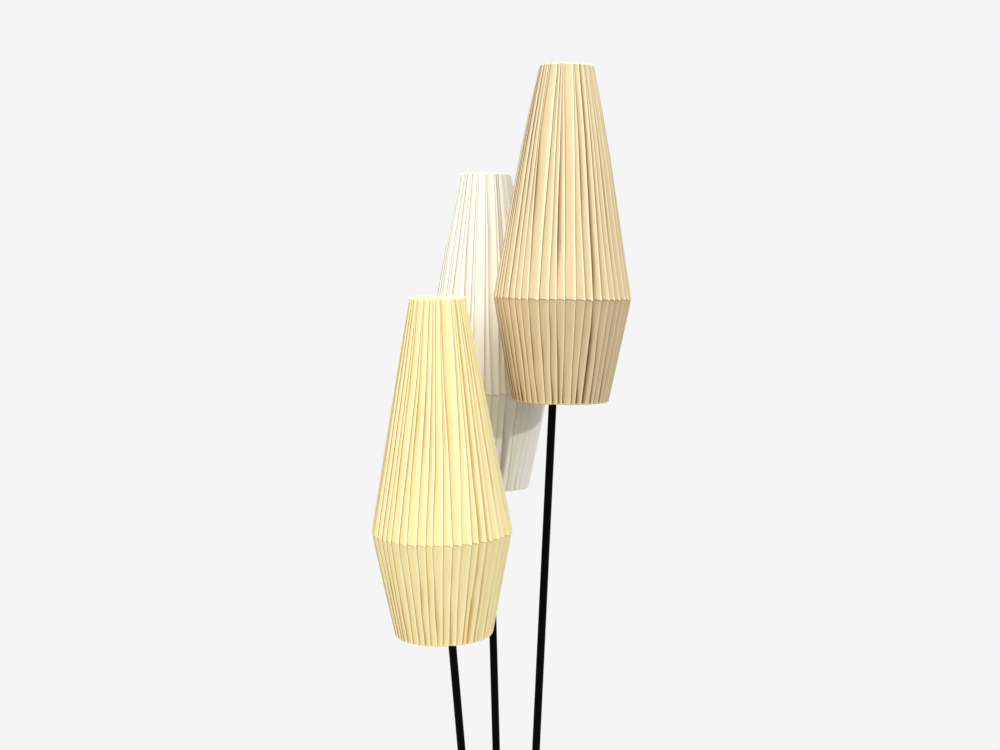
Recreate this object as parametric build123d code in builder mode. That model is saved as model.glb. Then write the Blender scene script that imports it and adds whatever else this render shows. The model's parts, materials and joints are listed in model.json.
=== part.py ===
from build123d import *
import math
import os
from dataclasses import dataclass

# Tree floor lamp: three pleated bicone shades on bent tubes that rise from one round weighted base.
# Millimetres and degrees. Origin: centre of the base's underside, on the floor. +Z is up.

# ---- Driving dimensions: shades ------------------------------------------------------------------
TOP_R = 40.5            # pleat tips at the top edge
WAIST_R = 103.0         # pleat tips at the waist, where the two cones meet
BOTTOM_R = 72.3         # pleat tips at the bottom edge
UPPER_H = 340.0         # waist to top edge
LOWER_H = 153.0         # waist to bottom edge
PLEATS = 48             # knife pleats round one shade
PLEAT_DEPTH = 0.027     # depth of a pleat as a share of its radius, the same all the way up
PLEAT_FACE = 0.8        # share of a pleat's angle that its broad face takes
CLOTH_T = 0.6           # cloth thickness
SEAM_HALF = 0.3         # half the seam gap between the two panels at the waist
LINER_T = 0.8           # stiff lining behind the cloth
LINER_GAP = 0.3         # between the cloth's folds and the lining
RING_W = 3.0            # square wire of the frame's rings
STRUT_W = 2.6           # wire of the frame's struts
STRUTS = 6
FRAME_GAP = 0.25        # between the lining and the frame
BINDING_T = 1.8         # rolled binding on the top and bottom edges
BINDING_OVER = 0.7      # how far the binding stands past the pleat tips

# ---- Driving dimensions: shade carrier -----------------------------------------------------------
SEAT_Z = 44.0           # underside of the carrier's ring above the waist
CARRIER_T = 2.0
CARRIER_RING_W = 6.0
CARRIER_ARMS = 3
ARM_W = 6.0
ARM_FLAT = 4.0          # flat end of an arm, where it lies on the waist ring

# ---- Driving dimensions: lampholder --------------------------------------------------------------
BARREL_R = 19.6         # threaded barrel that the carrier turns round
BARREL_WALL = 3.4
BARREL_H = 24.0         # above the flange
FLANGE_R = 23.0
FLANGE_T = 2.5
TURN_GAP = 0.4          # running clearance round the barrel
SEAT_GAP = 0.3          # clearance above and below the carrier's ring
CAP_R = 20.5
CAP_WALL = 1.8
CAP_H = 26.0
NECK_R = 9.0
NECK_H = 12.0
INSERT_GAP = 0.4        # round the insert, inside the cap
INSERT_DROP = 1.5       # insert's top below the cap's rim
RING_NUT_R = 26.0
RING_NUT_H = 5.0
THREAD_GAP = 0.2        # ring nut to barrel
SLEEVE_R = 14.4         # outside of the screw-thread contact sleeve
SLEEVE_T = 0.6
SLEEVE_H = 22.0
CONTACT_L = 12.0
CONTACT_W = 5.0
CONTACT_T = 0.8
CONTACT_RISE = 3.0

# ---- Driving dimensions: switch knob -------------------------------------------------------------
SPINDLE_R = 3.0
SPINDLE_RUN = 0.08      # radial running clearance of the spindle in the insert
SPINDLE_DEPTH = 10.0    # how far the spindle reaches into the insert
KNOB_GAP = 0.6          # knob to cap
KNOB_T = 10.0
KNOB_L = 17.0
KNOB_W = 7.0
CAP_HOLE_GAP = 0.5      # round the spindle, in the cap's wall

# ---- Driving dimensions: bulb --------------------------------------------------------------------
BULB_R = 30.0
BULB_L = 108.0          # tip of the cap to top of the glass
BULB_CAP_R = 13.3
BULB_CAP_H = 24.0
BULB_NECK_R = 13.0
BULB_SEAT_GAP = 0.3     # bulb cap above the centre contact

# ---- Driving dimensions: stems -------------------------------------------------------------------
STEM_R = 6.0
STEM_WALL = 1.0
STEM_FIT = 0.05         # stem in the hub's and the lampholder's sockets
STEM_CIRCLE_R = 28.8    # circle that the three stems stand on
STEM_TURN = -28.4       # direction of the tall stem on that circle
STEM_STEP = 120.0       # from one stem to the next on that circle
FOOT_STRAIGHT = 14.0    # stem stays upright this far above the hub
STEM_TOP_STRAIGHT = 36.0  # stem runs along the shade's axis this far below the lampholder
FOOT_BEND_R = 250.0
ENTRY_BEND_R = 160.0
TOP_BEND_R = 120.0
FLEX_R = 2.6

# ---- Driving dimensions: base --------------------------------------------------------------------
BASE_R = 150.0
BASE_H = 22.0           # top of the cover
RIM_ROUND = 5.0
COVER_T = 1.5
COVER_LIFT = 1.0        # cover's edge above the floor
FELT_EDGE = 9.0         # felt's edge inside the cover's edge
FELT_T = 3.0
WEIGHT_GAP = 0.4        # weight to cover
POCKET_R = 43.0         # wiring pocket in the weight
BOSS_R = 16.0           # boss for the centre bolt
POCKET_FLOOR = 6.0
HUB_LOBE_R = 12.5       # hub's wall line round each stem's centre
HUB_H = 30.0
HUB_EDGE = 1.5
SOCKET_DEPTH = 24.0
WIRE_GAP = 0.6          # round the flex where it passes metal
BOLT_R = 4.0
BOLT_FIT = 0.1
BOLT_HEAD_R = 7.0
BOLT_HEAD_H = 5.3
BOLT_GRIP = 18.0        # bolt's length inside the hub
WASHER_R = 11.0
WASHER_T = 1.6
BOLT_WELL = 9.0         # depth of the well for the bolt's head in the weight
WELL_GAP = 0.4          # round the washer in that well
GRUB_R = 2.5
GRUB_FIT = 0.1
TERMINAL_L = 18.0
TERMINAL_W = 13.0
TERMINAL_H = 12.0
INLET_Z = 9.0           # height of the cord inlet in the cover's back edge
INLET_BORE_R = 3.2
INLET_NECK_R = 4.3
INLET_FLANGE_R = 6.6
INLET_FLANGE_T = 1.6
INLET_FIT = 0.1


# ---- The three heads -----------------------------------------------------------------------------
@dataclass
class Head:
    name: str
    waist: tuple        # centre of the shade's waist
    lean: tuple         # how far the shade's axis leans towards +X and +Y, in degrees
    turn: float         # direction of its stem on the stem circle
    entry: float        # stem's offset from the shade's axis at the bottom edge, towards its foot

    @property
    def foot(self):
        angle = math.radians(self.turn)
        return Vector(STEM_CIRCLE_R * math.cos(angle), STEM_CIRCLE_R * math.sin(angle), 0)

    @property
    def plane(self):
        """Across the shade's axis at the waist, with local X away from the stem's foot."""
        up = Vector(*(math.tan(math.radians(angle)) for angle in self.lean), 1).normalized()
        away = Vector(*self.waist) - self.foot
        away = Vector(away.X, away.Y, 0)
        outward = (away - up * away.dot(up)).normalized()
        return Plane(origin=self.waist, x_dir=outward, z_dir=up)

    @property
    def axis(self):
        return Axis(self.waist, self.plane.z_dir)

    def side(self, angle=0):
        """Plane that holds the shade's axis: local X is a radius, local Y runs up the axis."""
        turn = math.radians(angle)
        radius = self.plane.x_dir * math.cos(turn) + self.plane.y_dir * math.sin(turn)
        return Plane(origin=self.waist, x_dir=radius, z_dir=radius.cross(self.plane.z_dir))


HEADS = [
    Head("tall", (85.2, -30.0, 1259.6), (0.92, 0.35), STEM_TURN, 11.6),
    Head("middle", (-33.0, 112.8, 1108.1), (0.41, 1.57), STEM_TURN + STEM_STEP, 26.5),
    Head("low", (-92.2, -100.0, 922.3), (-0.90, -2.12), STEM_TURN + 2 * STEM_STEP, 15.5),
]


# ---- Heights along a shade's axis, measured from its waist ---------------------------------------
FLANGE_TOP = SEAT_Z - SEAT_GAP
CAP_RIM = FLANGE_TOP - FLANGE_T
CAP_FLOOR = CAP_RIM - CAP_H
INSERT_BOTTOM = CAP_FLOOR + CAP_WALL
INSERT_TOP = CAP_RIM - INSERT_DROP
INSERT_R = CAP_R - CAP_WALL - INSERT_GAP
NECK_BOTTOM = CAP_FLOOR - NECK_H
SPINDLE_Z = CAP_FLOOR + CAP_H / 2
BARREL_TOP = FLANGE_TOP + BARREL_H
NUT_BOTTOM = SEAT_Z + CARRIER_T + SEAT_GAP
BULB_BOTTOM = INSERT_TOP + CONTACT_RISE + BULB_SEAT_GAP
GLASS_BOTTOM = BULB_BOTTOM + BULB_CAP_H
BULB_TOP = BULB_BOTTOM + BULB_L
CARRIER_R = BARREL_R + TURN_GAP

# ---- Heights in the base -------------------------------------------------------------------------
COVER_INSIDE_R = BASE_R - COVER_T
COVER_UNDER = BASE_H - COVER_T
HUB_TOP = BASE_H + HUB_H
SOCKET_FLOOR = HUB_TOP - SOCKET_DEPTH
SOCKET_R = STEM_R + STEM_FIT
WIRE_HOLE_R = FLEX_R + WIRE_GAP
WELL_TOP = FELT_T + BOLT_WELL


def tip_radius(height):
    """Radius of the pleat tips at a height above the waist."""
    if height >= 0:
        return WAIST_R + (TOP_R - WAIST_R) * height / UPPER_H
    return WAIST_R + (WAIST_R - BOTTOM_R) * height / LOWER_H


def liner_radius(height):
    """Outside of the lining at a height above the waist."""
    return tip_radius(height) * (1 - PLEAT_DEPTH) - CLOTH_T - LINER_GAP


def frame_radius(height):
    """Outermost radius that the frame may reach at a height above the waist."""
    return liner_radius(height) - LINER_T - FRAME_GAP


def export(part, name):
    part.label = name
    export_step(part, f"parts/{name}.step")


# ---- Shade ---------------------------------------------------------------------------------------
def pleat_outline(radius):
    """Saw-tooth ring of knife pleats: a broad face from tip to fold, then a short step back out."""
    step = 360 / PLEATS
    fold = radius * (1 - PLEAT_DEPTH)
    points = []
    for pleat in range(PLEATS):
        start = math.radians(pleat * step)
        end = math.radians((pleat + PLEAT_FACE) * step)
        points.append((radius * math.cos(start), radius * math.sin(start)))
        points.append((fold * math.cos(end), fold * math.sin(end)))
    return points


def pleated_panel(head, low, high):
    """One cone of pleated cloth between two heights above the waist, all of flat facets."""
    outlines = []
    for height, inset in ((low, 0), (high, 0), (high, CLOTH_T), (low, CLOTH_T)):
        plane = head.plane.offset(height)
        outline = pleat_outline(tip_radius(height) - inset)
        outlines.append([plane.from_local_coords((x, y, 0)) for x, y in outline])
    facets = []
    for near, far in zip(outlines, outlines[1:] + outlines[:1]):
        for corner in range(2 * PLEATS):
            facet = Wire.make_polygon((near[corner - 1], near[corner], far[corner], far[corner - 1]))
            facets.append(Face(facet))
    with BuildPart() as panel:
        add(Solid(Shell(facets)))
    return panel.part


def shade_liner(head):
    """Two stiff cones, one for each panel."""
    with BuildPart() as liner:
        for low, high in ((SEAM_HALF, UPPER_H), (-LOWER_H, -SEAM_HALF)):
            with BuildSketch(head.side()):
                with BuildLine():
                    Polyline(
                        (liner_radius(low), low),
                        (liner_radius(high), high),
                        (liner_radius(high) - LINER_T, high),
                        (liner_radius(low) - LINER_T, low),
                        close=True,
                    )
                make_face()
            revolve(axis=head.axis)
    return liner.part


def shade_frame(head):
    """Three rings of square wire and straight struts between them."""
    top_z = UPPER_H - RING_W
    bottom_z = -LOWER_H
    waist_z = -RING_W / 2
    with BuildPart() as frame:
        for low in (top_z, waist_z, bottom_z):
            outside = min(frame_radius(low), frame_radius(low + RING_W))
            with BuildSketch(head.plane.offset(low)):
                Circle(outside)
                Circle(outside - RING_W, mode=Mode.SUBTRACT)
            extrude(amount=RING_W)
        for strut in range(STRUTS):
            for end in (top_z, bottom_z):
                start_r = frame_radius(math.copysign(RING_W / 2, end))
                end_r = frame_radius(end + (0 if end > 0 else RING_W))
                end_h = end + (RING_W / 2)
                with BuildSketch(head.side(strut * 360 / STRUTS)):
                    with BuildLine():
                        Polyline(
                            (start_r, 0),
                            (min(end_r, frame_radius(end_h)), end_h),
                            (min(end_r, frame_radius(end_h)) - STRUT_W, end_h),
                            (start_r - STRUT_W, 0),
                            close=True,
                        )
                    make_face()
                extrude(amount=STRUT_W / 2, both=True)
    return frame.part


def shade_carrier(head):
    """Ring on the lampholder and three arms that drop to the waist ring."""
    rest_z = RING_W / 2
    ring_r = CARRIER_R + CARRIER_RING_W
    end_r = frame_radius(rest_z + CARRIER_T)
    with BuildPart() as carrier:
        with BuildSketch(head.plane.offset(SEAT_Z)):
            Circle(ring_r)
            Circle(CARRIER_R, mode=Mode.SUBTRACT)
        extrude(amount=CARRIER_T)
        for arm in range(CARRIER_ARMS):
            with BuildSketch(head.side((arm + 0.25) * 360 / CARRIER_ARMS)):
                with BuildLine():
                    Polyline(
                        (ring_r - CARRIER_RING_W / 2, SEAT_Z),
                        (ring_r - CARRIER_RING_W / 2, SEAT_Z + CARRIER_T),
                        (ring_r + CARRIER_T, SEAT_Z + CARRIER_T),
                        (end_r - ARM_FLAT, rest_z + CARRIER_T),
                        (end_r, rest_z + CARRIER_T),
                        (end_r, rest_z),
                        (end_r - ARM_FLAT - CARRIER_T, rest_z),
                        (ring_r + CARRIER_T / 2, SEAT_Z),
                        close=True,
                    )
                make_face()
            extrude(amount=ARM_W / 2, both=True)
    return carrier.part


def edge_bindings(head):
    """Rolled strips over the cloth's cut edges, at the top and the bottom."""
    with BuildPart() as bindings:
        for low, edge in ((UPPER_H, UPPER_H), (-LOWER_H - BINDING_T, -LOWER_H)):
            with BuildSketch(head.plane.offset(low)):
                Circle(tip_radius(edge) + BINDING_OVER)
                Circle(frame_radius(edge) - RING_W / 2, mode=Mode.SUBTRACT)
            extrude(amount=BINDING_T)
    return bindings.part


# ---- Lampholder and bulb: the same piece in all three heads shares a file -------------------------
def holder_caps():
    with BuildPart() as caps:
        for head in HEADS:
            with BuildSketch(head.side()):
                with BuildLine():
                    Polyline(
                        (WIRE_HOLE_R, CAP_FLOOR),
                        (SOCKET_R, CAP_FLOOR),
                        (SOCKET_R, NECK_BOTTOM),
                        (NECK_R, NECK_BOTTOM),
                        (NECK_R, CAP_FLOOR),
                        (CAP_R, CAP_FLOOR + CAP_WALL),
                        (CAP_R, CAP_RIM),
                        (CAP_R - CAP_WALL, CAP_RIM),
                        (CAP_R - CAP_WALL, INSERT_BOTTOM),
                        (WIRE_HOLE_R, INSERT_BOTTOM),
                        close=True,
                    )
                make_face()
            revolve(axis=head.axis)
            with BuildSketch(knob_plane(head, 0)):
                Circle(SPINDLE_R + CAP_HOLE_GAP)
            extrude(amount=CAP_R * 2, mode=Mode.SUBTRACT)
    return caps.part


def holder_shells():
    with BuildPart() as shells:
        for head in HEADS:
            with BuildSketch(head.side()):
                with BuildLine():
                    Polyline(
                        (BARREL_R - BARREL_WALL, CAP_RIM),
                        (FLANGE_R, CAP_RIM),
                        (FLANGE_R, FLANGE_TOP),
                        (BARREL_R, FLANGE_TOP),
                        (BARREL_R, BARREL_TOP),
                        (BARREL_R - BARREL_WALL, BARREL_TOP),
                        close=True,
                    )
                make_face()
            revolve(axis=head.axis)
    return shells.part


def knob_plane(head, distance):
    """Across the switch spindle, `distance` out from the lampholder's axis."""
    centre = head.plane.offset(SPINDLE_Z).origin + head.plane.x_dir * distance
    return Plane(origin=centre, x_dir=head.plane.z_dir, z_dir=head.plane.x_dir)


def holder_inserts():
    with BuildPart() as inserts:
        for head in HEADS:
            with BuildSketch(head.plane.offset(INSERT_BOTTOM)):
                Circle(INSERT_R)
            extrude(amount=INSERT_TOP - INSERT_BOTTOM)
            with BuildSketch(knob_plane(head, INSERT_R - SPINDLE_DEPTH)):
                Circle(SPINDLE_R + SPINDLE_RUN)
            extrude(amount=SPINDLE_DEPTH * 2, mode=Mode.SUBTRACT)
    return inserts.part


def contact_sleeves():
    with BuildPart() as sleeves:
        for head in HEADS:
            with BuildSketch(head.plane.offset(INSERT_TOP)):
                Circle(SLEEVE_R)
                Circle(SLEEVE_R - SLEEVE_T, mode=Mode.SUBTRACT)
            extrude(amount=SLEEVE_H)
    return sleeves.part


def centre_contacts():
    """Bent strips: a foot on the insert and a tongue that rises to the bulb."""
    with BuildPart() as contacts:
        for head in HEADS:
            half = CONTACT_L / 2
            with BuildSketch(head.side()):
                with BuildLine():
                    Polyline(
                        (-half, INSERT_TOP),
                        (half, INSERT_TOP),
                        (half, INSERT_TOP + CONTACT_T),
                        (CONTACT_T - half, INSERT_TOP + CONTACT_T),
                        (CONTACT_T - half, INSERT_TOP + CONTACT_RISE - CONTACT_T),
                        (half / 2, INSERT_TOP + CONTACT_RISE - CONTACT_T),
                        (half / 2, INSERT_TOP + CONTACT_RISE),
                        (-half, INSERT_TOP + CONTACT_RISE),
                        close=True,
                    )
                make_face()
            extrude(amount=CONTACT_W / 2, both=True)
    return contacts.part


def shade_rings():
    with BuildPart() as rings:
        for head in HEADS:
            with BuildSketch(head.plane.offset(NUT_BOTTOM)):
                Circle(RING_NUT_R)
                Circle(BARREL_R + THREAD_GAP, mode=Mode.SUBTRACT)
            extrude(amount=RING_NUT_H)
    return rings.part


def bulb_caps():
    with BuildPart() as caps:
        for head in HEADS:
            with BuildSketch(head.plane.offset(BULB_BOTTOM)):
                Circle(BULB_CAP_R)
            extrude(amount=BULB_CAP_H)
    return caps.part


def bulb_globes():
    centre_z = BULB_TOP - BULB_R
    shoulder = math.radians(-30)
    with BuildPart() as globes:
        for head in HEADS:
            with BuildSketch(head.side()):
                with BuildLine():
                    start = (BULB_R * math.cos(shoulder), centre_z + BULB_R * math.sin(shoulder))
                    Polyline((0, BULB_TOP), (0, GLASS_BOTTOM), (BULB_NECK_R, GLASS_BOTTOM), start)
                    ThreePointArc(start, (BULB_R, centre_z), (0, BULB_TOP))
                make_face()
            revolve(axis=head.axis)
    return globes.part


def switch_knob(head):
    """Spindle that turns in the insert, with a flat-sided grip outside the cap."""
    spindle_start = INSERT_R - SPINDLE_DEPTH + SEAT_GAP
    knob_start = CAP_R + KNOB_GAP
    with BuildPart() as knob:
        with BuildSketch(knob_plane(head, spindle_start)):
            Circle(SPINDLE_R)
        extrude(amount=knob_start - spindle_start + KNOB_T / 2)
        with BuildSketch(knob_plane(head, knob_start)):
            SlotOverall(KNOB_L, KNOB_W)
        extrude(amount=KNOB_T)
    return knob.part


# ---- Stems and the flex inside them --------------------------------------------------------------
def stem_route(head, start, end):
    """Points and bend radii from a height in the hub to a height on the shade's axis."""
    plane = head.plane
    entry = plane.from_local_coords((-head.entry, 0, -LOWER_H))
    upright = head.foot + Vector(0, 0, HUB_TOP + FOOT_STRAIGHT)
    straight = plane.from_local_coords((0, 0, NECK_BOTTOM - STEM_TOP_STRAIGHT))
    points = [
        head.foot + Vector(0, 0, start),
        upright,
        entry,
        straight,
        plane.from_local_coords((0, 0, end)),
    ]
    return points, [FOOT_BEND_R, ENTRY_BEND_R, TOP_BEND_R]


def stem(head):
    points, radii = stem_route(head, SOCKET_FLOOR, CAP_FLOOR)
    with BuildPart() as tube:
        with BuildLine() as route:
            FilletPolyline(*points, radius=radii)
        with BuildSketch(Plane(origin=points[0], z_dir=(0, 0, 1))):
            Circle(STEM_R)
            Circle(STEM_R - STEM_WALL, mode=Mode.SUBTRACT)
        sweep(path=route.wires()[0])
    return tube.part


def flex(head):
    points, radii = stem_route(head, POCKET_FLOOR + TERMINAL_H, INSERT_BOTTOM)
    with BuildPart() as wire:
        with BuildLine() as route:
            FilletPolyline(*points, radius=radii)
        with BuildSketch(Plane(origin=points[0], z_dir=(0, 0, 1))):
            Circle(FLEX_R)
        sweep(path=route.wires()[0])
    return wire.part


# ---- Base ----------------------------------------------------------------------------------------
def felt_pad():
    with BuildPart() as pad:
        with BuildSketch():
            Circle(BASE_R - FELT_EDGE)
        extrude(amount=FELT_T)
    return pad.part


def base_weight():
    """Cast disc under the cover, with a wiring pocket, a bolt boss and a channel for the cord."""
    edge_r = COVER_INSIDE_R - WEIGHT_GAP
    top = COVER_UNDER - WEIGHT_GAP
    with BuildPart() as weight:
        with BuildSketch(Plane.XZ):
            with BuildLine():
                Polyline(
                    (0, FELT_T),
                    (edge_r, FELT_T),
                    (edge_r, top - RIM_ROUND),
                    (edge_r - RIM_ROUND, top),
                    (POCKET_R, top),
                    (POCKET_R, POCKET_FLOOR),
                    (BOSS_R, POCKET_FLOOR),
                    (BOSS_R, COVER_UNDER),
                    (0, COVER_UNDER),
                    close=True,
                )
            make_face()
        revolve(axis=Axis.Z)
        with BuildSketch(Plane.XY.offset(FELT_T)):
            Circle(WASHER_R + WELL_GAP)
        extrude(amount=BOLT_WELL, mode=Mode.SUBTRACT)
        with BuildSketch(Plane.XY.offset(FELT_T)):
            Circle(BOLT_R + BOLT_FIT)
        extrude(amount=BASE_H, mode=Mode.SUBTRACT)
        with BuildSketch(inlet_plane(POCKET_R - INLET_FLANGE_R)):
            Circle(INLET_NECK_R)
        extrude(amount=BASE_R, mode=Mode.SUBTRACT)
    return weight.part


def base_cover():
    """Spun shell with a flat top and a rounded upper edge."""
    with BuildPart() as cover:
        with BuildSketch(Plane.XY.offset(COVER_LIFT)):
            Circle(BASE_R)
        extrude(amount=BASE_H - COVER_LIFT)
        top = cover.faces().filter_by(Plane.XY).sort_by(Axis.Z)[-1]
        fillet(top.edges(), radius=RIM_ROUND)
        under = cover.faces().filter_by(Plane.XY).sort_by(Axis.Z)[0]
        offset(amount=-COVER_T, openings=under)
        with BuildSketch(Plane.XY.offset(BASE_H)):
            Circle(BOLT_R + BOLT_FIT)
            for head in HEADS:
                with Locations((head.foot.X, head.foot.Y)):
                    Circle(WIRE_HOLE_R)
        extrude(amount=-2 * COVER_T, mode=Mode.SUBTRACT)
        with BuildSketch(inlet_plane(COVER_INSIDE_R - COVER_T)):
            Circle(INLET_NECK_R + INLET_FIT)
        extrude(amount=4 * COVER_T, mode=Mode.SUBTRACT)
    return cover.part


def inlet_plane(distance):
    """Across the cord inlet at the back of the base, `distance` from the lamp's centre."""
    return Plane(origin=(0, distance, INLET_Z), x_dir=(1, 0, 0), z_dir=(0, 1, 0))


def cord_inlet():
    neck_start = COVER_INSIDE_R - COVER_T
    with BuildPart() as inlet:
        with BuildSketch(inlet_plane(neck_start)):
            Circle(INLET_NECK_R - INLET_FIT)
        extrude(amount=BASE_R - neck_start)
        with BuildSketch(inlet_plane(BASE_R)):
            Circle(INLET_FLANGE_R)
        extrude(amount=INLET_FLANGE_T)
        with BuildSketch(inlet_plane(neck_start)):
            Circle(INLET_BORE_R)
        extrude(amount=BASE_R, mode=Mode.SUBTRACT)
    return inlet.part


def stem_hub():
    """Three-lobed block: a socket for each stem, a hole for each flex, a blind hole for the bolt."""
    with BuildPart() as hub:
        with BuildSketch(Plane.XY.offset(BASE_H)):
            with BuildLine():
                for head in HEADS:
                    CenterArc((head.foot.X, head.foot.Y), HUB_LOBE_R, 0, 360)
            make_hull()
        extrude(amount=HUB_H)
        top = hub.faces().filter_by(Plane.XY).sort_by(Axis.Z)[-1]
        chamfer(top.edges(), length=HUB_EDGE)
        for head in HEADS:
            with BuildSketch(Plane.XY.offset(HUB_TOP)):
                with Locations((head.foot.X, head.foot.Y)):
                    Circle(SOCKET_R)
            extrude(amount=-SOCKET_DEPTH, mode=Mode.SUBTRACT)
            with BuildSketch(Plane.XY.offset(HUB_TOP)):
                with Locations((head.foot.X, head.foot.Y)):
                    Circle(WIRE_HOLE_R)
            extrude(amount=-HUB_H, mode=Mode.SUBTRACT)
            with BuildSketch(grub_plane(head)):
                Circle(GRUB_R + GRUB_FIT)
            extrude(amount=HUB_LOBE_R * 2, mode=Mode.SUBTRACT)
        with BuildSketch(Plane.XY.offset(BASE_H)):
            Circle(BOLT_R + BOLT_FIT)
        extrude(amount=BOLT_GRIP + BOLT_FIT, mode=Mode.SUBTRACT)
    return hub.part


def grub_plane(head):
    """Across a stem's grub screw, where it meets the stem."""
    outward = head.foot.normalized()
    origin = head.foot + outward * STEM_R + Vector(0, 0, HUB_TOP - SOCKET_DEPTH / 2)
    return Plane(origin=origin, x_dir=(0, 0, 1), z_dir=outward)


def grub_screws():
    with BuildPart() as screws:
        for head in HEADS:
            with BuildSketch(grub_plane(head)):
                Circle(GRUB_R)
            extrude(amount=HUB_LOBE_R - STEM_R)
    return screws.part


def centre_bolt():
    with BuildPart() as bolt:
        with BuildSketch(Plane.XY.offset(WELL_TOP - WASHER_T - BOLT_HEAD_H)):
            RegularPolygon(radius=BOLT_HEAD_R, side_count=6)
        extrude(amount=BOLT_HEAD_H)
        with BuildSketch(Plane.XY.offset(WELL_TOP - WASHER_T)):
            Circle(BOLT_R)
        extrude(amount=BASE_H + BOLT_GRIP - WELL_TOP + WASHER_T)
    return bolt.part


def bolt_washer():
    with BuildPart() as washer:
        with BuildSketch(Plane.XY.offset(WELL_TOP - WASHER_T)):
            Circle(WASHER_R)
            Circle(BOLT_R + BOLT_FIT, mode=Mode.SUBTRACT)
        extrude(amount=WASHER_T)
    return washer.part


def terminal_blocks():
    """One two-pole block under each stem, standing on the pocket's floor."""
    with BuildPart() as blocks:
        for head in HEADS:
            with BuildSketch(Plane.XY.offset(POCKET_FLOOR)):
                with Locations(Location((head.foot.X, head.foot.Y, 0), (0, 0, head.turn))):
                    Rectangle(TERMINAL_W, TERMINAL_L)
            extrude(amount=TERMINAL_H)
    return blocks.part


# ---- Build and write every piece -----------------------------------------------------------------
os.makedirs("parts", exist_ok=True)

for piece in (
    felt_pad, base_weight, base_cover, stem_hub, grub_screws, centre_bolt, bolt_washer,
    terminal_blocks, cord_inlet, holder_caps, holder_shells, holder_inserts, contact_sleeves,
    centre_contacts, shade_rings, bulb_caps, bulb_globes,
):
    export(piece(), piece.__name__)

for each in HEADS:
    for piece in (stem, flex, switch_knob, shade_frame, shade_carrier, shade_liner, edge_bindings):
        export(piece(each), f"{piece.__name__}_{each.name}")
    export(pleated_panel(each, SEAM_HALF, UPPER_H), f"upper_fabric_{each.name}")
    export(pleated_panel(each, -LOWER_H, -SEAM_HALF), f"lower_fabric_{each.name}")
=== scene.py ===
"""Looks of the tree floor lamp: pleated cloth shades, painted tubes and base, lampholders and bulbs.

Lengths are metres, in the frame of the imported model. Each shade has its own local frame: its origin is
the centre of the waist, its Z runs up the shade's axis and its X points away from the lamp's centre.
"""

import json
import math

import bpy
import numpy as np
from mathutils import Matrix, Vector


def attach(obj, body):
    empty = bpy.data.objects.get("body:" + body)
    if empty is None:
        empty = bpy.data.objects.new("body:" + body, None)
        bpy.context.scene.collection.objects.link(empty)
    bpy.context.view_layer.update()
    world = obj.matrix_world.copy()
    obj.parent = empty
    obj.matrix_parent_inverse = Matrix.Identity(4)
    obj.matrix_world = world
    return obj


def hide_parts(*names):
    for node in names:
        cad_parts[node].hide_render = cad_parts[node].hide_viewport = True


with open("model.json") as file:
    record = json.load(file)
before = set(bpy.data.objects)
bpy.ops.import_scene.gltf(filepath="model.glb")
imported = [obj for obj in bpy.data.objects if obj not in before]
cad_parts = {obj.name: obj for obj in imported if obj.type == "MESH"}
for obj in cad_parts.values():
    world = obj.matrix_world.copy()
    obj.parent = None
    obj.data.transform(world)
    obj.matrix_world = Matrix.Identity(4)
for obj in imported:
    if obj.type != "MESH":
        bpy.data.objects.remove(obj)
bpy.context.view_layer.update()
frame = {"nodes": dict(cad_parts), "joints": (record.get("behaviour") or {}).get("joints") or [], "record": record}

MM = 0.001

# ---- Photograph's viewpoint ----------------------------------------------------------------------
CAMERA_PLACE = (-0.0075, -2.330, 1.332)
CAMERA_PITCH = 4.68         # degrees below the level
CAMERA_LENS = 55.58         # mm
CAMERA_SENSOR = 36          # mm wide
BACKDROP = 0.913            # linear grey of the plain background

# ---- Light ---------------------------------------------------------------------------------------
KEY_TURN = 50.0             # degrees to the right of the camera's side
KEY_RISE = 20.0             # degrees above the level
KEY_AWAY = 3                # the key is a sun, so this only places its mark
KEY_STRENGTH = 0.84
KEY_ANGLE = 1.8             # degrees across, which sets how soft the shadow's edge is
FILL_PLACE = (-1.7, -1.9, 1.9)
FILL_SIZE = 1.4
FILL_POWER = 31.0
TOP_PLACE = (0, -0.6, 3.3)
TOP_SIZE = 2.0
TOP_POWER = 30.0
SOFT_AIM = (0, 0, 1.15)     # what the fill and the top light point at, the middle of the shades
SKY = 0.92                  # plain light from straight above
GROUND = 0.06               # plain light from straight below

# ---- Floor ---------------------------------------------------------------------------------------
FLOOR_R = 1.35
FLOOR_PLAIN_R = 0.45        # where it starts to fade out
FLOOR_FADE = 0.98           # share of its radius at which it is gone
FLOOR_SIDES = 96
FLOOR_GREY = 0.80

# ---- Cloth: widths and folds of the pleats -------------------------------------------------------
PLEATS = 48
WAIST_SPREAD = 0.15         # how uneven the pleats' widths are at the waist
TOP_SPREAD = 0.36           # how much more uneven they get at the top, where some nearly hide others
BOTTOM_SPREAD = 0.12        # how much more uneven they get at the bottom
LEAST_PLEAT = 0.30          # narrowest pleat, as a share of the mean one
DRIFT = 0.10                # how far a fold strays from its line, as a share of the pleat's width
DRIFT_FULL = 0.25           # share of the way from the waist where it first strays that far
LAP = 3.2 * MM              # cloth that a fold hides, on each of its two hidden layers
LAP_SHARE = 0.55            # most of the pleat before it that a lap may take
GROOVE = 2.6 * MM           # open width beside a fold
GROOVE_SHARE = 0.32         # most of a pleat that its groove may take
GROOVE_DEPTH = 1.1 * MM     # where the lining leaves room for it
GAPING = 0.14               # share of the folds that stand wide open
GAPING_WIDER = 1.1          # how much wider they are than the others
UPPER_GAPE = 0.42           # how open the upper cone's grooves are
UPPER_SWELL = 0.95          # how much more they open in the middle
LOWER_GAPE = 0.35           # how open the lower cone's grooves are at the waist
LOWER_SWELL = 1.15          # how much more they open at the bottom
FLAT_TILT = 1.3 * MM        # how far the middle of a pleat lies below its fold's edge
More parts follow.
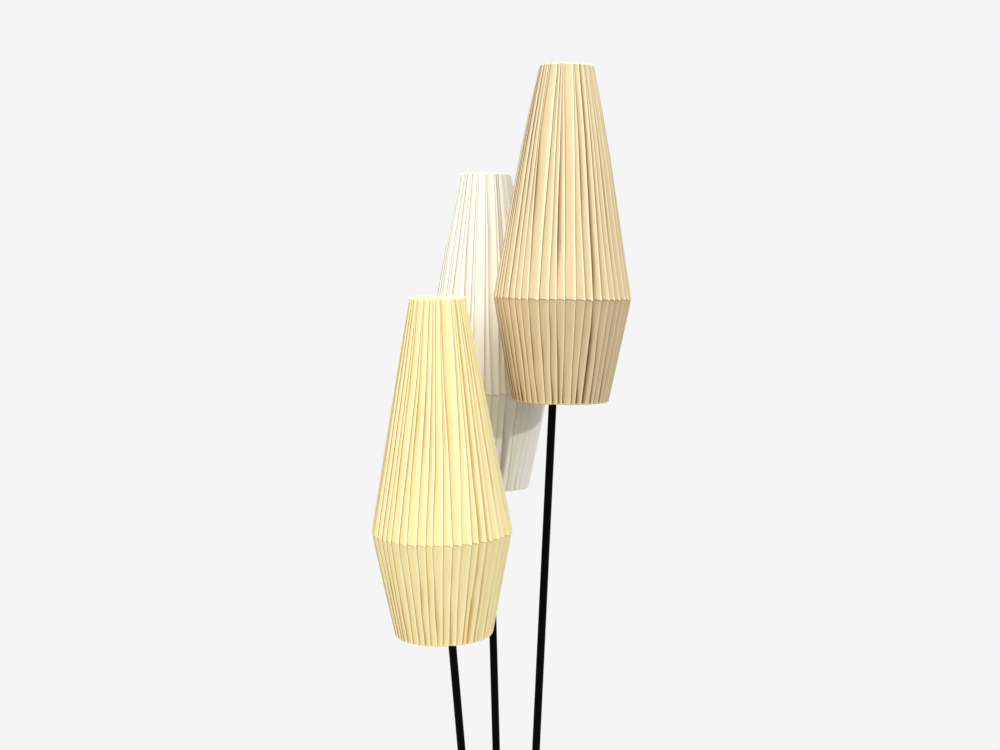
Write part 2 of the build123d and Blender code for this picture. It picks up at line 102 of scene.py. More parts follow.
TILT_SHARE = 0.9            # most of the room over the lining that the tilt may take
CREASE_DEPTH = 0.35 * MM    # deepest stray crease along the middle of a pleat
CREASE_SHARE = 0.1          # most of the room over the lining that it may take
CREASE_SHIFT = 0.3          # how far a crease strays from the middle, as a share of the pleat's width
LINER_CLEAR = 0.35 * MM     # cloth to lining

# ---- Cloth: waist seam ---------------------------------------------------------------------------
BELLY = {"tall": 2.5 * MM, "middle": 0.8 * MM, "low": 0.0}  # bulge of the upper cloth past its cone
BELLY_SKEW = 1.6            # above 1, the bulge is widest past the middle
TUCK = 1.0 * MM             # how far the lower panel starts inside the upper one at the waist
TUCK_REACH = 2.2 * MM       # height over which the tuck runs out
EASE = 0.7 * MM             # how far both panels draw in at the waist seam
EASE_REACH = 9 * MM
GATHER = 0.35               # how much shallower the folds are at the seam
GATHER_REACH = 2.0 * MM
SETTLE = 0.45               # how much shallower they are where they reach an end ring
SETTLE_REACH = 9 * MM
FLARE = 2.2 * MM            # how far the upper folds stand out over the waist seam
FLARE_DROP = 2.4 * MM       # how far they hang over it
FLARE_REACH = 3.0 * MM
WAIST_ROOM = 2 * MM         # room for the folds where the cloth's own length is measured
NEAR_ROWS = np.array([0.0, 0.6, 1.3, 2.1, 3.0, 4.2, 5.8, 8.0, 11.0, 15.0]) * MM
UPPER_ROWS, LOWER_ROWS = 34, 18     # rows from the last near one to the end ring, both counted

# ---- Cloth: end rings ----------------------------------------------------------------------------
EDGE_R = 3.2 * MM           # round turn of the cloth at the top and bottom edges
EDGE_RISE = 1.4 * MM        # how far the turn stands past the panel's CAD edge
EDGE_DEPTH = 0.9 * MM       # depth of the folds where they lie on a ring
TURN_ANGLES = np.radians([14, 30, 46, 62, 78, 90])
RING_REACH = 8.4 * MM       # from the fold tips to the cloth's end inside a ring
CLOTH_END = 4.5 * MM        # how far the cloth runs down inside a ring
INNER_ROWS = (
    # from the cloth's end outward, below the edge, and the way that the folds go in
    (2.6 * MM, 0, (0, -1.0)),
    (0.9 * MM, 0.5 * MM, (0.35, -0.9)),
    (0.1 * MM, 1.8 * MM, (0.4, 0)),
    (0, CLOTH_END, (0.4, 0)),
)
TAPE_T = 0.8 * MM           # tape inside the rings, which covers the cloth's ends
TAPE_H = 3.4 * MM
TAPE_WAVES = (7, 13, 22, 31)        # waves round a tape that make it uneven
TAPE_UNEVEN = 0.15          # how much they change its thickness, as a share
TAPE_DRIFT = 0.25 * MM      # how far they move it up and down
TAPE_COLUMNS, TAPE_ROUND = 200, 14  # points round the ring and round the tape

# ---- Cloth: painted shade and painted highlights -------------------------------------------------
GROOVE_SHADE = 0.26         # painted shade of a closed groove
GAPE_SHADE = 0.48           # how much darker the painted shade is in an open one
SEAM_SHADE = 0.22           # painted shade on the lower cloth right under the waist seam, where the upper folds overhang
SEAM_REACH = 5 * MM
LOWER_SHADE = {"tall": 0.12, "middle": 0.05, "low": 0.02}   # painted shade that dulls the lower panels, which face down
FLARE_HIGHLIGHT = 0.2           # painted highlight on the flared fold ends
RIM_HIGHLIGHT = 0.15            # painted highlight on the turn of the cloth over a ring, and on the tapes
RIM_SHADE = 0.5             # share of the grooves' painted shade that is left there


# ---- Shade frames --------------------------------------------------------------------------------
class Head:
    """One shade: its place, its axes and its sizes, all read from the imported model."""

    def __init__(self, turn_joint, switch_joint, seed):
        self.name = turn_joint["name"].removeprefix("shade_turn_")
        self.body = turn_joint["child"]
        self.origin = np.array(turn_joint["pos_m"])
        self.z = np.array(turn_joint["axis"])
        self.x = np.array(switch_joint["axis"])
        self.y = np.cross(self.z, self.x)
        self.seed = seed
        radius, height = self.measure(f"upper_fabric_{self.name}")
        self.upper_h = height.max()
        self.waist_r = radius.max()
        self.top_r = radius[height > self.upper_h - MM].max()
        radius, height = self.measure(f"lower_fabric_{self.name}")
        self.lower_h = -height.min()
        self.bottom_r = radius[height < MM - self.lower_h].max()
        radius, height = self.measure(f"shade_liner_{self.name}")
        self.liner_waist_r = radius.max()
        self.liner_top_r = radius[height > self.upper_h - MM].max()
        self.liner_bottom_r = radius[height < MM - self.lower_h].max()

    def measure(self, name):
        """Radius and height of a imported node's vertices in this shade's frame."""
        mesh = frame["nodes"][name].data
        places = np.empty(len(mesh.vertices) * 3)
        mesh.vertices.foreach_get("co", places)
        local = places.reshape(-1, 3) - self.origin
        height = local @ self.z
        return np.hypot(local @ self.x, local @ self.y), height

    def world(self, local):
        return self.origin + local @ np.stack([self.x, self.y, self.z])

    def tip_radius(self, height):
        """Radius of the fold tips at a height above the waist, or below it where that is negative."""
        if height >= 0:
            return self.waist_r + (self.top_r - self.waist_r) * height / self.upper_h
        return self.waist_r + (self.waist_r - self.bottom_r) * height / self.lower_h

    def liner_radius(self, height):
        """Outer radius of the lining at a height."""
        if height >= 0:
            return self.liner_waist_r + (self.liner_top_r - self.liner_waist_r) * height / self.upper_h
        return self.liner_waist_r + (self.liner_waist_r - self.liner_bottom_r) * height / self.lower_h


def joint(name):
    return next(item for item in frame["joints"] if item["name"] == name)


HEADS = [
    Head(joint(f"shade_turn_{name}"), joint(f"switch_turn_{name}"), seed)
    for name, seed in (("tall", 11), ("middle", 23), ("low", 37))
]


# ---- Small mesh helpers --------------------------------------------------------------------------
def add_mesh(name, places, faces, uv=None, **values):
    """A smooth-shaded object from arrays of vertices and faces, with UVs and named vertex values."""
    mesh = bpy.data.meshes.new(name)
    mesh.from_pydata([tuple(place) for place in places], [], [tuple(face) for face in faces])
    mesh.shade_smooth()
    if uv is not None:
        corners = np.empty(len(mesh.loops), int)
        mesh.loops.foreach_get("vertex_index", corners)
        layer = mesh.uv_layers.new(name="cloth")
        layer.data.foreach_set("uv", uv[corners].ravel())
    for key, value in values.items():
        attribute = mesh.attributes.new(key, "FLOAT", "POINT")
        attribute.data.foreach_set("value", value.astype(np.float32))
    item = bpy.data.objects.new(name, mesh)
    bpy.context.scene.collection.objects.link(item)
    return item


def ring_faces(rows, columns):
    """Quads between neighbouring points of rows that each run all the way round."""
    row, column = np.meshgrid(np.arange(rows - 1), np.arange(columns), indexing="ij")
    after = (column + 1) % columns
    return np.stack([
        row * columns + column, row * columns + after,
        (row + 1) * columns + after, (row + 1) * columns + column,
    ], axis=-1).reshape(-1, 4)


def smooth_share(value):
    """A smooth step from 0 to 1."""
    value = min(max(value, 0), 1)
    return value * value * (3 - 2 * value)


# ---- Pleats --------------------------------------------------------------------------------------
def sample(knots, position):
    """Smoothly read rows of knots at a position from 0 to 1."""
    place = position * (len(knots) - 1)
    low = min(int(place), len(knots) - 2)
    share = smooth_share(place - low)
    return knots[low] * (1 - share) + knots[low + 1] * share


class Pleats:
    """The folds round one shade. Knots are rows of one value per pleat, from the bottom to the top."""

    def __init__(self, head):
        rng = np.random.default_rng(head.seed)
        self.start = rng.uniform(0, 2 * math.pi)
        self.waist = self.shares(self.uneven(rng, WAIST_SPREAD))
        self.top = self.shares(self.waist * self.uneven(rng, TOP_SPREAD))
        self.bottom = self.shares(self.waist * self.uneven(rng, BOTTOM_SPREAD))
        drift_knots, opening_knots = (7, PLEATS), (9, PLEATS)
        self.drift = rng.uniform(-1, 1, drift_knots)
        wide = 1 + GAPING_WIDER * (rng.uniform(0, 1, PLEATS) < GAPING)
        self.opening = rng.uniform(0.5, 1.3, opening_knots) * rng.uniform(0.45, 1.05, PLEATS) * wide
        self.depth = rng.uniform(0.70, 1.0, PLEATS)
        self.tilt = rng.uniform(0.45, 1.35, PLEATS)
        self.lap = LAP * rng.uniform(0.8, 1.3, PLEATS)
        self.crease = rng.uniform(0.40, 0.70, PLEATS)
        self.crease_depth = CREASE_DEPTH * rng.uniform(0, 1, PLEATS) ** 2
        self.tone = rng.uniform(-1, 1, PLEATS)
        self.flare = rng.uniform(0.35, 1.0, PLEATS)

    @staticmethod
    def uneven(rng, spread):
        """Widths that differ from pleat to pleat, while every fold stays near its even place."""
        step = rng.normal(0, spread, PLEATS)
        return np.exp(step - np.roll(step, 1))

    @staticmethod
    def shares(widths):
        """Widths as shares of the whole round, none of them vanishing."""
        widths = np.maximum(widths, LEAST_PLEAT * widths.mean())
        return widths / widths.sum()

    @staticmethod
    def place(along, upper):
        """Position among the knots of a share of the way from the waist."""
        return 0.5 + (0.5 if upper else -0.5) * along

    def folds(self, along, upper):
        """Angle of each fold's edge and the angle to the next, at a share of the way from the waist."""
        end = self.top if upper else self.bottom
        widths = self.waist * (1 - along) + end * along
        drift = sample(self.drift, self.place(along, upper)) * DRIFT
        edges = np.concatenate([[0], np.cumsum(widths)[:-1]])
        edges = edges + drift * widths * min(1, along / DRIFT_FULL)
        following = np.concatenate([edges[1:], [edges[0] + 1]])
        return self.start + 2 * math.pi * edges, 2 * math.pi * (following - edges)

    def openings(self, along, upper):
        """How far each groove gapes: least at the waist, and most in the middle or at the bottom."""
        gape = sample(self.opening, self.place(along, upper))
        if upper:
            return gape * (UPPER_GAPE + UPPER_SWELL * math.sin(math.pi * (0.10 + 0.80 * along)))
        return gape * (LOWER_GAPE + LOWER_SWELL * along ** 0.9)


# One pleat, from its fold's edge to the next. Each point's place is its share of the hidden lap, of
# the groove and of the pleat's width; then its share of the groove's depth and of the flat's tilt;
# and last its painted shade: 1 deep in the groove, below 0 for a painted highlight on the fold's edge.
SECTION = np.array([
    # lap, groove, width, depth, tilt, shade
    (0.00, 0.05, 0.00, 0.08, 0.00, -0.08),
    (0.00, 0.07, 0.00, 0.30, 0.00, 0.35),
    (0.00, 0.03, 0.00, 0.55, 0.00, 0.80),
    (-0.35, 0.00, 0.00, 0.62, 0.00, 1.00),
    (-0.75, 0.00, 0.00, 0.70, 0.00, 1.00),
    (-1.00, 0.00, 0.00, 0.80, 0.00, 1.00),
    (-0.90, 0.00, 0.00, 0.94, 0.00, 1.00),
    (-0.50, 0.00, 0.00, 1.00, 0.00, 1.00),
    (0.00, 0.10, 0.00, 1.00, 0.00, 1.00),
    (0.00, 0.50, 0.00, 0.95, 0.00, 0.92),
    (0.00, 0.85, 0.00, 0.74, 0.10, 0.70),
    (0.00, 1.20, 0.00, 0.46, 0.40, 0.45),
    (0.00, 1.30, 0.06, 0.20, 0.66, 0.30),
    (0.00, 0.60, 0.28, 0.00, 0.62, 0.22),
    (0.00, 0.00, 0.56, 0.00, 0.42, 0.12),
    (0.00, 0.00, 0.72, 0.00, 0.22, 0.02),
    (0.00, 0.00, 0.84, 0.00, 0.06, -0.12),
    (0.00, 0.00, 0.93, 0.00, 0.00, -0.22),
    (0.00, 0.00, 0.985, 0.00, 0.00, -0.20),
])
LAPS, GROOVES, WIDTHS, DEPTHS, TILTS, SHADES = SECTION.T
POINTS = len(SECTION)
CREASE_POINT = 13
LIFTS = WIDTHS ** 3         # how much of the flare over the waist seam each point takes
LIFTS[0] = 1


def pleat_section(pleats, steps, radius, room, gape):
    """Places across, depths and painted shade of one row of cloth, in rows of one pleat each."""
    width = steps * radius
    groove = np.minimum(GROOVE * gape, GROOVE_SHARE * width)
    lap = np.minimum(pleats.lap, LAP_SHARE * np.roll(width, 1))
    across = LAPS * lap[:, None] + GROOVES * groove[:, None] + WIDTHS * width[:, None]
    groove_deep = np.minimum(room, GROOVE_DEPTH * pleats.depth)
    tilt = np.minimum(FLAT_TILT * pleats.tilt, TILT_SHARE * room)
    inward = np.maximum(groove_deep[:, None] * DEPTHS, tilt[:, None] * TILTS)
    across[:, CREASE_POINT] += (pleats.crease - 0.5) * CREASE_SHIFT * width
    inward[:, CREASE_POINT] += np.minimum(pleats.crease_depth, CREASE_SHARE * room)
    # Painted shade of each groove, darker where it stands open; shades below 0 are painted highlights.
    dark = np.clip(GROOVE_SHADE + GAPE_SHADE * gape, 0, 1)[:, None]
    return across, inward, np.where(SHADES > 0, SHADES * dark, SHADES)


def cloth_lengths(across, inward):
    """Length of cloth from the first fold to each point of a row."""
    runs = np.hypot(np.diff(across, axis=1, prepend=0), np.diff(inward, axis=1, prepend=0))
    return np.cumsum(runs.ravel())


# ---- Cloth panels --------------------------------------------------------------------------------
class Row:
    """One level of a panel: its ring, the room for its folds, the way they go in and their flare."""

    def __init__(self, radius, height, along, room, way=(-1, 0), flare=0.0):
        self.radius, self.height, self.along = radius, height, along
        self.room, self.way, self.flare = room, way, flare


def wall_rows(head, upper):
    """Rows up or down the cone, close together near the waist."""
    length = (head.upper_h if upper else head.lower_h) + EDGE_RISE - EDGE_R
    far_rows = np.linspace(NEAR_ROWS[-1], length, UPPER_ROWS if upper else LOWER_ROWS)
    rows = []
    for height in np.concatenate([NEAR_ROWS, far_rows[1:]]):
        level = height if upper else -height
        along = height / length
        belly = BELLY[head.name] * math.sin(math.pi * along ** BELLY_SKEW) if upper else 0
        tuck = 0 if upper else TUCK * math.exp(-((height / TUCK_REACH) ** 2))
        ease = EASE * math.exp(-height / EASE_REACH)
        radius = head.tip_radius(level) + belly - tuck - ease
        room = radius - head.liner_radius(level) - LINER_CLEAR
        gather = 1 - GATHER * math.exp(-height / GATHER_REACH)
        settle = 1 - SETTLE * smooth_share((height - length + SETTLE_REACH) / SETTLE_REACH)
        flare = math.exp(-height / FLARE_REACH) if upper else 0
        rows.append(Row(radius, level, along, room * gather * settle, flare=flare))
    return rows


def edge_rows(head, upper):
    """Rows that turn over the panel's end ring and run down its inner side."""
    side = 1 if upper else -1
    length = (head.upper_h if upper else head.lower_h) + EDGE_RISE
    tip_r = head.tip_radius(side * (length - EDGE_R))
    centre_r, centre_h = tip_r - EDGE_R, length - EDGE_R
    rows = []
    for angle in TURN_ANGLES:
        out_r, out_h = math.cos(angle), math.sin(angle)
        rows.append((centre_r + EDGE_R * out_r, centre_h + EDGE_R * out_h, (-out_r, -out_h)))
    last_r = tip_r - RING_REACH
    for outward, below, way in INNER_ROWS:
        rows.append((last_r + outward, length - below, way))
    return [
        Row(radius, side * height, 1.0, EDGE_DEPTH, way=(way[0], side * way[1]))
        for radius, height, way in rows
    ]


def cloth_panel(head, pleats, upper):
    """One cone of cloth in knife pleats, from the waist seam round the ring at its other end."""
    rows = wall_rows(head, upper) + edge_rows(head, upper)
    waist_steps = pleats.folds(0, upper)[1]
    waist_row = pleat_section(pleats, waist_steps, head.waist_r, WAIST_ROOM, np.ones(PLEATS))
    cloth_u = cloth_lengths(*waist_row[:2])
    cloth_v = np.cumsum([0] + [
        math.hypot(after.radius - row.radius, after.height - row.height)
        for row, after in zip(rows, rows[1:])
    ])
    places, uv, shades = [], [], []
    for row, run in zip(rows, cloth_v):
        edges, steps = pleats.folds(row.along, upper)
        gape = pleats.openings(row.along, upper)
        across, inward, shade = pleat_section(pleats, steps, row.radius, row.room, gape)
        lift = row.flare * pleats.flare[:, None] * LIFTS
        reach = row.radius + row.way[0] * inward + FLARE * lift
        level = row.height + row.way[1] * inward - FLARE_DROP * lift
        angles = edges[:, None] + across / row.radius
        # Painted highlight on the flared fold ends; on the lower panel, painted shade that is deepest right under
        # the seam.
        if upper:
            shade = shade - FLARE_HIGHLIGHT * lift
        else:
            shade = shade + LOWER_SHADE[head.name] + SEAM_SHADE * math.exp(row.height / SEAM_REACH)
        # On the turn over a ring: less of the grooves' painted shade, and a painted highlight.
        if row.way[0] != -1:
            shade = RIM_SHADE * shade - RIM_HIGHLIGHT
        places.append(head.world(np.stack([
            (reach * np.cos(angles)).ravel(), (reach * np.sin(angles)).ravel(), level.ravel(),
        ], 1)))
        uv.append(np.stack([cloth_u, np.full(cloth_u.size, run)], 1))
        shades.append(shade.ravel())
    faces = ring_faces(len(rows), PLEATS * POINTS)
    if not upper:
        faces = faces[:, ::-1]
    tone = np.tile(np.repeat(pleats.tone, POINTS), len(rows))
    name = f"{'upper' if upper else 'lower'}_pleats_{head.name}"
    return add_mesh(name, np.concatenate(places), faces, np.concatenate(uv),
                    tone=tone, shade=np.concatenate(shades))


def edge_tapes(head):
    """Soft tapes inside the top and bottom rings, which cover the cloth's cut ends."""
    turn = np.linspace(0, 2 * math.pi, TAPE_COLUMNS, endpoint=False)
    rng = np.random.default_rng(head.seed + 1)
    waves = [rng.uniform(0.2, 1) * np.cos(count * turn + rng.uniform(0, 6)) for count in TAPE_WAVES]
    wave = sum(waves) / len(waves)
    places, faces = [], []
    for side, height in ((1, head.upper_h), (-1, head.lower_h)):
        centre_r = head.tip_radius(side * (height + EDGE_RISE - EDGE_R)) - RING_REACH - TAPE_T
        centre_h = side * (height + EDGE_RISE - CLOTH_END)
        ring = []
        for angle in np.linspace(0, 2 * math.pi, TAPE_ROUND):
            local_r = centre_r + TAPE_T * (math.cos(angle) + TAPE_UNEVEN * wave)
            local_h = centre_h + 0.5 * TAPE_H * math.sin(angle) + TAPE_DRIFT * wave
            ring.append(np.stack([local_r * np.cos(turn), local_r * np.sin(turn), local_h], 1))
        faces.append(ring_faces(TAPE_ROUND, TAPE_COLUMNS) + sum(len(part) for part in places))
        places.append(head.world(np.concatenate(ring)))
    places = np.concatenate(places)
    uv = np.tile(np.stack([turn * head.top_r, turn * 0], 1), (2 * TAPE_ROUND, 1))
    # The tapes take the same painted highlight as the cloth's turn over a ring.
    return add_mesh(f"edge_tapes_{head.name}", places, np.concatenate(faces), uv,
                    tone=np.zeros(len(places)), shade=np.full(len(places), -RIM_HIGHLIGHT))


# ---- Shader node helpers -------------------------------------------------------------------------
def new_material(name, **settings):
    """A Principled material; settings are sockets by name, with spaces as underscores."""
    material = bpy.data.materials.new(name)
    material.use_nodes = True
    shader = material.node_tree.nodes["Principled BSDF"]
    for socket, value in settings.items():
        shader.inputs[socket.replace("_", " ")].default_value = value
    return material, shader


def link(owner, source, target):
    owner.node_tree.links.new(source, target)


def feed(owner, target, value):
    """Link a socket to another, or set it to a constant."""
    if isinstance(value, bpy.types.NodeSocket):
        link(owner, value, target)
    else:
        target.default_value = value


def node(owner, kind, settings=None, **sockets):
    """A new node of a material or world, with its settings and its input sockets by name."""
    made = owner.node_tree.nodes.new(kind)
    for key, value in (settings or {}).items():
        setattr(made, key, value)
    for socket, value in sockets.items():
        feed(owner, made.inputs[socket.replace("_", " ")], value)
    return made


def math_node(owner, operation, *values):
    made = node(owner, "ShaderNodeMath", {"operation": operation})
    for target, value in zip(made.inputs, values):
        feed(owner, target, value)
    return made.outputs[0]


def weighted(owner, *terms):
    """Sum of sockets, each times its weight."""
    parts = [math_node(owner, "MULTIPLY", source, weight) for source, weight in terms]
    total = parts[0]
    for part in parts[1:]:
        total = math_node(owner, "ADD", total, part)
    return total


def scaled(owner, source, scale):
    return node(owner, "ShaderNodeMapping", Vector=source, Scale=scale).outputs["Vector"]


def noise(owner, place, **sockets):
    return node(owner, "ShaderNodeTexNoise", Vector=place, **sockets).outputs["Fac"]


def ramp(owner, source, *stops):
    """Colour that runs between two stops, each a position and a colour."""
    made = node(owner, "ShaderNodeValToRGB", Fac=source)
    for element, (position, colour) in zip(made.color_ramp.elements, stops):
        element.position = position
        element.color = colour
    return made.outputs["Color"]


def mix(owner, share, first, second):
    """Colour that goes from the first to the second as the share goes from 0 to 1."""
    made = node(owner, "ShaderNodeMix", {"data_type": "RGBA"}, Factor=share, A=first, B=second)
    return made.outputs["Result"]


def emboss(material, shader, height, strength, distance):
    bump = node(material, "ShaderNodeBump", Height=height, Strength=strength, Distance=distance)
    link(material, bump.outputs["Normal"], shader.inputs["Normal"])


def srgb(*parts):
    """Linear colour of an sRGB one, given in parts from 11 to 255."""
    return (*(((part / 255 + 0.055) / 1.055) ** 2.4 for part in parts), 1)


# ---- Materials -----------------------------------------------------------------------------------
THREAD = 0.42 * MM          # from one thread of the cloth to the next
WEAVE_SCALE = 1 / THREAD / (2 * math.pi)    # bands of about two threads, one over and one under
SLUBS = (900, 60, 1)        # noise per metre, across and along the pleats: thick places in the yarn
STREAKS = (260, 7, 1)       # long streaks
CLOUDS = (22, 16, 1)        # broad uneven dye
HIGHLIGHT_GAIN = -4.0        # how strongly a painted shade below 0 turns the cloth to its painted highlight colour
BROAD_GRAIN = 0.06          # scale of a coat's broad unevenness, as a share of its fine grain's
COAT_ROUGH = (-0.08, 0.10)  # how much smoother and rougher a coat gets
COAT_DULL = 0.85            # brightness of a coat's dark patches, as a share


def cloth_material(name, colour, thread, groove, edge):
    """Fine plain-woven cloth with slubs along the pleats. `thread` is its darker yarn, `groove` its
    painted shade colour deep in a fold and `edge` its painted highlight colour along a fold's edge."""
    material, shader = new_material(name, Roughness=0.85, Sheen_Weight=0.10, Sheen_Roughness=0.5,
                                    Specular_IOR_Level=0.2)
    uv = node(material, "ShaderNodeUVMap", {"uv_map": "cloth"}).outputs["UV"]
    slub = noise(material, scaled(material, uv, SLUBS), Scale=1.0, Detail=3.0, Roughness=0.6)
    streak = noise(material, scaled(material, uv, STREAKS), Scale=1.0, Detail=2.0)
    cloud = noise(material, scaled(material, uv, CLOUDS), Scale=1.0, Detail=2.0)
    tone = node(material, "ShaderNodeAttribute", {"attribute_name": "tone"}).outputs["Fac"]
    shade = node(material, "ShaderNodeAttribute", {"attribute_name": "shade"}).outputs["Fac"]
    threads = weighted(material, (slub, 0.55), (streak, 0.45))
    uneven = weighted(material, (threads, 1), (tone, 0.05), (cloud, 0.22))
    plain = ramp(material, uneven, (0.36, thread), (0.70, colour))
    # Painted shade in the grooves, and a painted highlight along the fold edges where the shade is below 0.
    shaded = mix(material, shade, plain, groove)
    highlight_share = math_node(material, "MULTIPLY", shade, HIGHLIGHT_GAIN)
    link(material, mix(material, highlight_share, shaded, edge), shader.inputs["Base Color"])
    warp, weft = (
        node(material, "ShaderNodeTexWave", {"wave_type": "BANDS", "bands_direction": direction},
             Vector=scaled(material, uv, scale), Scale=1.0, Distortion=0.6).outputs["Fac"]
        for direction, scale in (("X", (WEAVE_SCALE, 1, 1)), ("Y", (1, WEAVE_SCALE, 1)))
    )
    weave = math_node(material, "MULTIPLY", warp, weft)
    emboss(material, shader, weighted(material, (weave, 0.5), (threads, 1)), 0.35, 0.25 * MM)
    return material


def coat_material(name, colour, roughness, grain, relief, metallic=0.0, specular=0.5):
    """Paint, plastic or metal with a fine uneven surface. `grain` is the grain's size in metres and
    `relief` its height."""
    material, shader = new_material(name, Base_Color=colour, Metallic=metallic,
                                    Specular_IOR_Level=specular)
    place = node(material, "ShaderNodeTexCoord").outputs["Object"]
    fine = noise(material, place, Scale=1 / grain, Detail=3.0)
    broad = noise(material, place, Scale=BROAD_GRAIN / grain, Detail=4.0)
    uneven = weighted(material, (fine, 0.5), (broad, 0.5))
    rough = node(material, "ShaderNodeMapRange", Value=uneven,
                 To_Min=roughness + COAT_ROUGH[0], To_Max=roughness + COAT_ROUGH[1])
    link(material, rough.outputs["Result"], shader.inputs["Roughness"])
    dull = [part * COAT_DULL for part in colour[:3]] + [1]
    link(material, ramp(material, uneven, (0.3, dull), (0.7, colour)), shader.inputs["Base Color"])
    emboss(material, shader, fine, 0.5, relief)
    return material


def felt_material():
    material, shader = new_material("felt", Roughness=0.95, Sheen_Weight=0.4)
    place = node(material, "ShaderNodeTexCoord").outputs["Object"]
    fibres = noise(material, place, Scale=1400.0, Detail=6.0, Distortion=1.5)
    colour = ramp(material, fibres, (0, (0.006, 0.006, 0.006, 1)), (1, (0.05, 0.05, 0.052, 1)))
    link(material, colour, shader.inputs["Base Color"])
    emboss(material, shader, fibres, 0.8, 0.4 * MM)
    return material


# Each cloth: its colour, its darker yarn, the painted shade colour of its grooves and the painted highlight colour
# of its fold edges.
CLOTHS = {
    "tall": cloth_material("beige_cloth", srgb(232, 210, 166), srgb(224, 199, 153),
                           srgb(122, 90, 48), srgb(254, 241, 202)),
    "middle": cloth_material("white_cloth", srgb(254, 252, 240), srgb(250, 246, 230),
                             srgb(210, 200, 174), srgb(255, 255, 248)),
    "low": cloth_material("yellow_cloth", srgb(255, 239, 176), srgb(252, 230, 160),
                          srgb(210, 158, 84), srgb(255, 252, 212)),
}
FINISHES = {
    "black_paint": coat_material("powder_coat", (0.0015, 0.0015, 0.0015, 1), 0.55, 0.7 * MM, 0.03 * MM,
                                 specular=0.03),
    "shade_lining": coat_material("lining_film", srgb(255, 251, 232), 0.55, 1.5 * MM, 0.01 * MM),
    "frame_paint": coat_material("white_enamel", srgb(236, 234, 226), 0.35, 0.9 * MM, 0.01 * MM),
    "holder_plastic": coat_material("black_resin", (0.02, 0.02, 0.021, 1), 0.38, 0.5 * MM, 0.01 * MM),
    "insert_plastic": coat_material("glazed_ceramic", srgb(232, 229, 220), 0.2, 1.2 * MM, 0.01 * MM),
    "contact_brass": coat_material("brass", srgb(214, 178, 104), 0.32, 0.4 * MM, 0.01 * MM, 1.0),
    "bulb_glass": coat_material("opal_glass", srgb(246, 245, 240), 0.22, 2.0 * MM, 0.004 * MM),
    "bulb_cap_metal": coat_material("rolled_metal", srgb(206, 207, 210), 0.35, 0.4 * MM, 0.01 * MM, 1.0),
    "flex_sheath": coat_material("flex_sheath", (0.02, 0.02, 0.02, 1), 0.55, 0.5 * MM, 0.01 * MM),
    "felt": felt_material(),
    "cast_iron": coat_material("cast_iron", (0.03, 0.03, 0.033, 1), 0.6, 1.4 * MM, 0.15 * MM, 0.6),
    "steel": coat_material("zinc_plate", srgb(190, 192, 194), 0.35, 0.3 * MM, 0.01 * MM, 1.0),
    "terminal_plastic": coat_material("white_resin", srgb(232, 231, 226), 0.4, 0.6 * MM, 0.01 * MM),
    "black_rubber": coat_material("rubber", (0.018, 0.018, 0.018, 1), 0.7, 0.4 * MM, 0.02 * MM),
}


# ---- Dress the model -----------------------------------------------------------------------------
SHARP_ANGLE = math.radians(30)      # faces that meet at a larger angle keep a crisp edge


def finish_nodes():
    """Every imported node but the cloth, which is replaced below, takes its material slot's finish."""
    for part in frame["record"]["subparts"]:
        finish = FINISHES.get(part["material_slot"])
        if finish is None:
            continue
        mesh = frame["nodes"][part["node"]].data
        mesh.materials.clear()
        mesh.materials.append(finish)
        mesh.shade_smooth()
        mesh.set_sharp_from_angle(angle=SHARP_ANGLE)


def dress(item, head, packed_node):
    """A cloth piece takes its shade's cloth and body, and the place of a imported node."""
    item.data.materials.append(CLOTHS[head.name])
    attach(item, head.body)
    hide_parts(packed_node)


def dress_shade(head):
    """The two pleated panels and the tapes of one shade."""
    pleats = Pleats(head)
    for end, height in (("upper", head.upper_h), ("lower", head.lower_h)):
        panel = cloth_panel(head, pleats, end == "upper")
        dress(panel, head, f"{end}_fabric_{head.name}")
    dress(edge_tapes(head), head, f"edge_bindings_{head.name}")


finish_nodes()
for each in HEADS:
    dress_shade(each)


# ---- Stage, light and camera ---------------------------------------------------------------------
def make_floor():
    """A pale disc whose rim fades out into the plain background, and whose underside isn't there."""
    turn = np.linspace(0, 2 * math.pi, FLOOR_SIDES, endpoint=False)
    rim = np.stack([FLOOR_R * np.cos(turn), FLOOR_R * np.sin(turn), np.zeros(FLOOR_SIDES)], 1)
    places = np.concatenate([rim, [[0, 0, 0]]])
    faces = [(index, (index + 1) % FLOOR_SIDES, FLOOR_SIDES) for index in range(FLOOR_SIDES)]
    item = add_mesh("floor_disc", places, faces)
    material, shader = new_material("floor_paint", Roughness=0.9,
                                    Base_Color=(FLOOR_GREY, FLOOR_GREY, FLOOR_GREY, 1))
    place = node(material, "ShaderNodeTexCoord").outputs["Object"]
    distance = node(material, "ShaderNodeVectorMath", {"operation": "LENGTH"}, Vector=place)
    fade = node(material, "ShaderNodeMapRange", {"interpolation_type": "SMOOTHSTEP"},
                Value=distance.outputs["Value"], From_Min=FLOOR_PLAIN_R,
                From_Max=FLOOR_R * FLOOR_FADE, To_Min=1, To_Max=0)
    below = node(material, "ShaderNodeNewGeometry").outputs["Backfacing"]
    above = math_node(material, "SUBTRACT", 1, below)
    seen = math_node(material, "MULTIPLY", fade.outputs["Result"], above)
    link(material, seen, shader.inputs["Alpha"])
    item.data.materials.append(material)


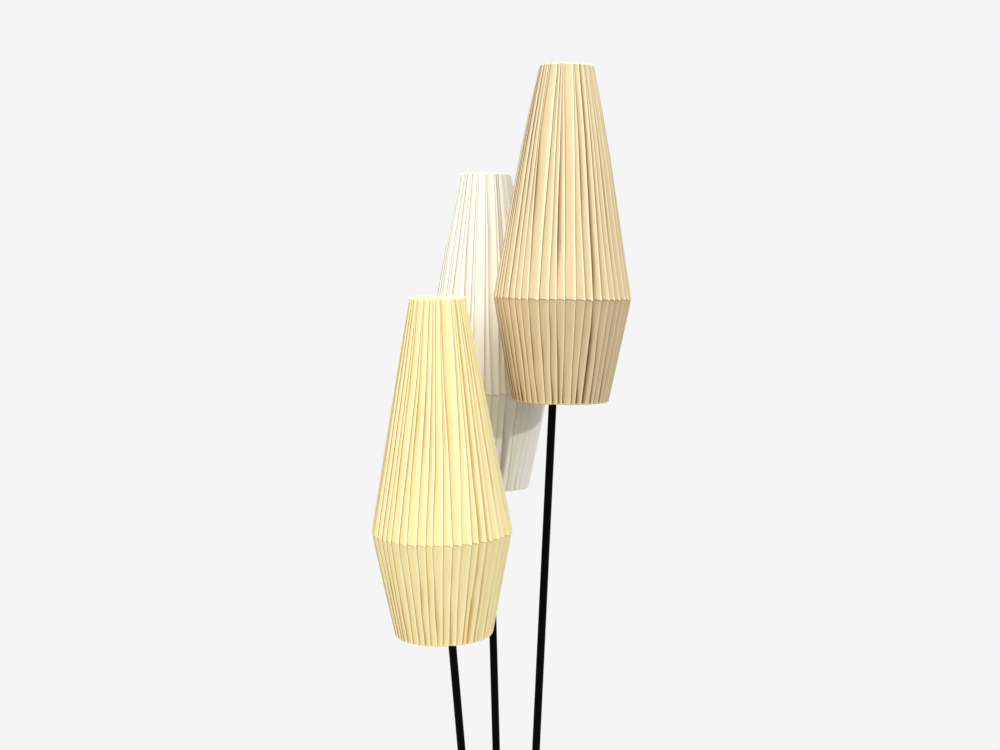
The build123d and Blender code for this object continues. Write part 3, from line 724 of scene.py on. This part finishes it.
def make_world():
    """Plain soft light for the object, and a plain pale background for the camera and reflections."""
    world = bpy.data.worlds.new("studio")
    bpy.context.scene.world = world
    world.use_nodes = True
    rays = node(world, "ShaderNodeLightPath").outputs
    seen = math_node(world, "MAXIMUM", rays["Is Camera Ray"], rays["Is Glossy Ray"])
    seen = math_node(world, "MAXIMUM", seen, rays["Is Transmission Ray"])
    way = node(world, "ShaderNodeTexCoord").outputs["Generated"]
    rise = node(world, "ShaderNodeSeparateXYZ", Vector=way).outputs["Z"]
    level = node(world, "ShaderNodeMapRange", Value=rise, From_Min=-1, To_Min=GROUND, To_Max=SKY)
    colour = mix(world, seen, level.outputs["Result"], (BACKDROP, BACKDROP, BACKDROP, 1))
    background = world.node_tree.nodes["Background"]
    link(world, colour, background.inputs["Color"])
    background.inputs["Strength"].default_value = 1


def add_light(name, kind, place, target, **settings):
    """A light at a place that points at a target."""
    light = bpy.data.objects.new(name, bpy.data.lights.new(name, kind))
    for key, value in settings.items():
        setattr(light.data, key, value)
    light.location = place
    light.rotation_euler = (Vector(target) - light.location).to_track_quat("-Z", "Y").to_euler()
    bpy.context.scene.collection.objects.link(light)


def make_lights():
    turn, rise = math.radians(KEY_TURN), math.radians(KEY_RISE)
    level = KEY_AWAY * math.cos(rise)
    key_place = (level * math.sin(turn), -level * math.cos(turn), KEY_AWAY * math.sin(rise))
    add_light("key", "SUN", key_place, (0, 0, 0), energy=KEY_STRENGTH, angle=math.radians(KEY_ANGLE))
    add_light("fill", "AREA", FILL_PLACE, SOFT_AIM, energy=FILL_POWER, size=FILL_SIZE)
    add_light("top", "AREA", TOP_PLACE, SOFT_AIM, energy=TOP_POWER, size=TOP_SIZE)


def make_camera():
    camera = bpy.data.objects.new("camera", bpy.data.cameras.new("camera"))
    camera.data.lens = CAMERA_LENS
    camera.data.sensor_width = CAMERA_SENSOR
    camera.data.sensor_fit = "HORIZONTAL"
    camera.location = CAMERA_PLACE
    camera.rotation_euler = (math.radians(90 - CAMERA_PITCH), 0, 0)
    bpy.context.scene.collection.objects.link(camera)
    bpy.context.scene.camera = camera


make_floor()
make_world()
make_lights()
make_camera()
bpy.context.scene.view_settings.view_transform = "Standard"

bpy.context.view_layer.update()
